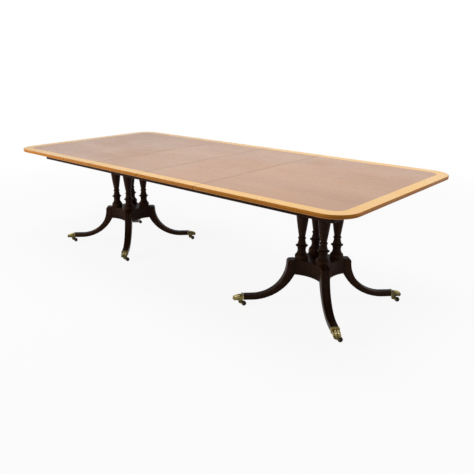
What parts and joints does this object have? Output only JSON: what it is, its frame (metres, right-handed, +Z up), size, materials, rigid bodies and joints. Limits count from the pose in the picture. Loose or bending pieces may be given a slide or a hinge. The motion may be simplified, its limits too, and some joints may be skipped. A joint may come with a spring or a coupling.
{
  "type": "double pedestal dining table",
  "caption": "Extending dining table with a crossbanded rounded top, lift-out leaves, and pedestals of turned columns on sabre legs with brass paw casters.",
  "frame": {"origin": "on the floor under the middle of the top", "axes": "+X along the length of the table, +Y across it, +Z up"},
  "size_m": [2.7, 1.216, 0.74],
  "materials": {
    "mahogany_field": "polished mahogany veneer",
    "light_border": "polished satinwood crossbanding",
    "dark_mahogany": "dark polished mahogany",
    "runner_wood": "plain waxed hardwood",
    "brass": "aged cast brass",
    "wheel_tread": "dark moulded wheel"
  },
  "bodies": {
    "left_half": {"left_top_panel": "mahogany_field", "left_top_border": "light_border", "left_apron": "dark_mahogany", "left_runners": "runner_wood", "left_top_block": "runner_wood", "left_platform": "dark_mahogany", "left_front_outer_column": "dark_mahogany", "left_front_outer_leg": "dark_mahogany", "left_front_outer_toe_cap": "brass", "left_front_inner_column": "dark_mahogany", "left_front_inner_leg": "dark_mahogany", "left_front_inner_toe_cap": "brass", "left_back_outer_column": "dark_mahogany", "left_back_outer_leg": "dark_mahogany", "left_back_outer_toe_cap": "brass", "left_back_inner_column": "dark_mahogany", "left_back_inner_leg": "dark_mahogany", "left_back_inner_toe_cap": "brass"},
    "right_half": {"right_top_panel": "mahogany_field", "right_top_border": "light_border", "right_apron": "dark_mahogany", "right_runners": "runner_wood", "right_top_block": "runner_wood", "right_platform": "dark_mahogany", "right_front_inner_column": "dark_mahogany", "right_front_inner_leg": "dark_mahogany", "right_front_inner_toe_cap": "brass", "right_front_outer_column": "dark_mahogany", "right_front_outer_leg": "dark_mahogany", "right_front_outer_toe_cap": "brass", "right_back_inner_column": "dark_mahogany", "right_back_inner_leg": "dark_mahogany", "right_back_inner_toe_cap": "brass", "right_back_outer_column": "dark_mahogany", "right_back_outer_leg": "dark_mahogany", "right_back_outer_toe_cap": "brass"},
    "middle_slide": {"middle_runners": "runner_wood"},
    "left_leaf": {"left_leaf_panel": "mahogany_field", "left_leaf_border": "light_border", "left_leaf_apron": "dark_mahogany"},
    "right_leaf": {"right_leaf_panel": "mahogany_field", "right_leaf_border": "light_border", "right_leaf_apron": "dark_mahogany"},
    "left_front_outer_caster": {"left_front_outer_caster_fork": "brass"},
    "left_front_outer_wheel": {"left_front_outer_caster_wheel": "wheel_tread"},
    "left_front_inner_caster": {"left_front_inner_caster_fork": "brass"},
    "left_front_inner_wheel": {"left_front_inner_caster_wheel": "wheel_tread"},
    "left_back_outer_caster": {"left_back_outer_caster_fork": "brass"},
    "left_back_outer_wheel": {"left_back_outer_caster_wheel": "wheel_tread"},
    "left_back_inner_caster": {"left_back_inner_caster_fork": "brass"},
    "left_back_inner_wheel": {"left_back_inner_caster_wheel": "wheel_tread"},
    "right_front_inner_caster": {"right_front_inner_caster_fork": "brass"},
    "right_front_inner_wheel": {"right_front_inner_caster_wheel": "wheel_tread"},
    "right_front_outer_caster": {"right_front_outer_caster_fork": "brass"},
    "right_front_outer_wheel": {"right_front_outer_caster_wheel": "wheel_tread"},
    "right_back_inner_caster": {"right_back_inner_caster_fork": "brass"},
    "right_back_inner_wheel": {"right_back_inner_caster_wheel": "wheel_tread"},
    "right_back_outer_caster": {"right_back_outer_caster_fork": "brass"},
    "right_back_outer_wheel": {"right_back_outer_caster_wheel": "wheel_tread"}
  },
  "joints": [
    {"name": "right_half_slide", "type": "slide", "parent": "left_half", "child": "right_half", "axis": [1, 0, 0], "range_m": [0, 0.1]},
    {"name": "middle_runner_slide", "type": "slide", "parent": "left_half", "child": "middle_slide", "axis": [1, 0, 0], "range_m": [0, 0.05]},
    {"name": "left_leaf_lift", "type": "slide", "parent": "left_half", "child": "left_leaf", "axis": [0, 0, 1], "range_m": [0, 0.25]},
    {"name": "right_leaf_lift", "type": "slide", "parent": "left_half", "child": "right_leaf", "axis": [0, 0, 1], "range_m": [0, 0.25]},
    {"name": "left_front_outer_swivel", "type": "hinge", "parent": "left_half", "child": "left_front_outer_caster", "pos_m": [-1.16308, -0.31608, 0.03], "axis": [0, 0, 1], "continuous": true},
    {"name": "left_front_outer_wheel_spin", "type": "hinge", "parent": "left_front_outer_caster", "child": "left_front_outer_wheel", "pos_m": [-1.1396, -0.31109, 0.0135], "axis": [-0.2079, 0.9781, 0], "continuous": true},
    {"name": "left_front_inner_swivel", "type": "hinge", "parent": "left_half", "child": "left_front_inner_caster", "pos_m": [-0.53092, -0.31608, 0.03], "axis": [0, 0, 1], "continuous": true},
    {"name": "left_front_inner_wheel_spin", "type": "hinge", "parent": "left_front_inner_caster", "child": "left_front_inner_wheel", "pos_m": [-0.50745, -0.31109, 0.0135], "axis": [-0.2079, 0.9781, 0], "continuous": true},
    {"name": "left_back_outer_swivel", "type": "hinge", "parent": "left_half", "child": "left_back_outer_caster", "pos_m": [-1.16308, 0.31608, 0.03], "axis": [0, 0, 1], "continuous": true},
    {"name": "left_back_outer_wheel_spin", "type": "hinge", "parent": "left_back_outer_caster", "child": "left_back_outer_wheel", "pos_m": [-1.1396, 0.32107, 0.0135], "axis": [-0.2079, 0.9781, 0], "continuous": true},
    {"name": "left_back_inner_swivel", "type": "hinge", "parent": "left_half", "child": "left_back_inner_caster", "pos_m": [-0.53092, 0.31608, 0.03], "axis": [0, 0, 1], "continuous": true},
    {"name": "left_back_inner_wheel_spin", "type": "hinge", "parent": "left_back_inner_caster", "child": "left_back_inner_wheel", "pos_m": [-0.50745, 0.32107, 0.0135], "axis": [-0.2079, 0.9781, 0], "continuous": true},
    {"name": "right_front_inner_swivel", "type": "hinge", "parent": "right_half", "child": "right_front_inner_caster", "pos_m": [0.53092, -0.31608, 0.03], "axis": [0, 0, 1], "continuous": true},
    {"name": "right_front_inner_wheel_spin", "type": "hinge", "parent": "right_front_inner_caster", "child": "right_front_inner_wheel", "pos_m": [0.5544, -0.31109, 0.0135], "axis": [-0.2079, 0.9781, 0], "continuous": true},
    {"name": "right_front_outer_swivel", "type": "hinge", "parent": "right_half", "child": "right_front_outer_caster", "pos_m": [1.16308, -0.31608, 0.03], "axis": [0, 0, 1], "continuous": true},
    {"name": "right_front_outer_wheel_spin", "type": "hinge", "parent": "right_front_outer_caster", "child": "right_front_outer_wheel", "pos_m": [1.18655, -0.31109, 0.0135], "axis": [-0.2079, 0.9781, 0], "continuous": true},
    {"name": "right_back_inner_swivel", "type": "hinge", "parent": "right_half", "child": "right_back_inner_caster", "pos_m": [0.53092, 0.31608, 0.03], "axis": [0, 0, 1], "continuous": true},
    {"name": "right_back_inner_wheel_spin", "type": "hinge", "parent": "right_back_inner_caster", "child": "right_back_inner_wheel", "pos_m": [0.5544, 0.32107, 0.0135], "axis": [-0.2079, 0.9781, 0], "continuous": true},
    {"name": "right_back_outer_swivel", "type": "hinge", "parent": "right_half", "child": "right_back_outer_caster", "pos_m": [1.16308, 0.31608, 0.03], "axis": [0, 0, 1], "continuous": true},
    {"name": "right_back_outer_wheel_spin", "type": "hinge", "parent": "right_back_outer_caster", "child": "right_back_outer_wheel", "pos_m": [1.18655, 0.32107, 0.0135], "axis": [-0.2079, 0.9781, 0], "continuous": true}
  ],
  "couplings": [
    {"joint": "middle_runner_slide", "follows": "right_half_slide", "ratio": 0.5}
  ]
}
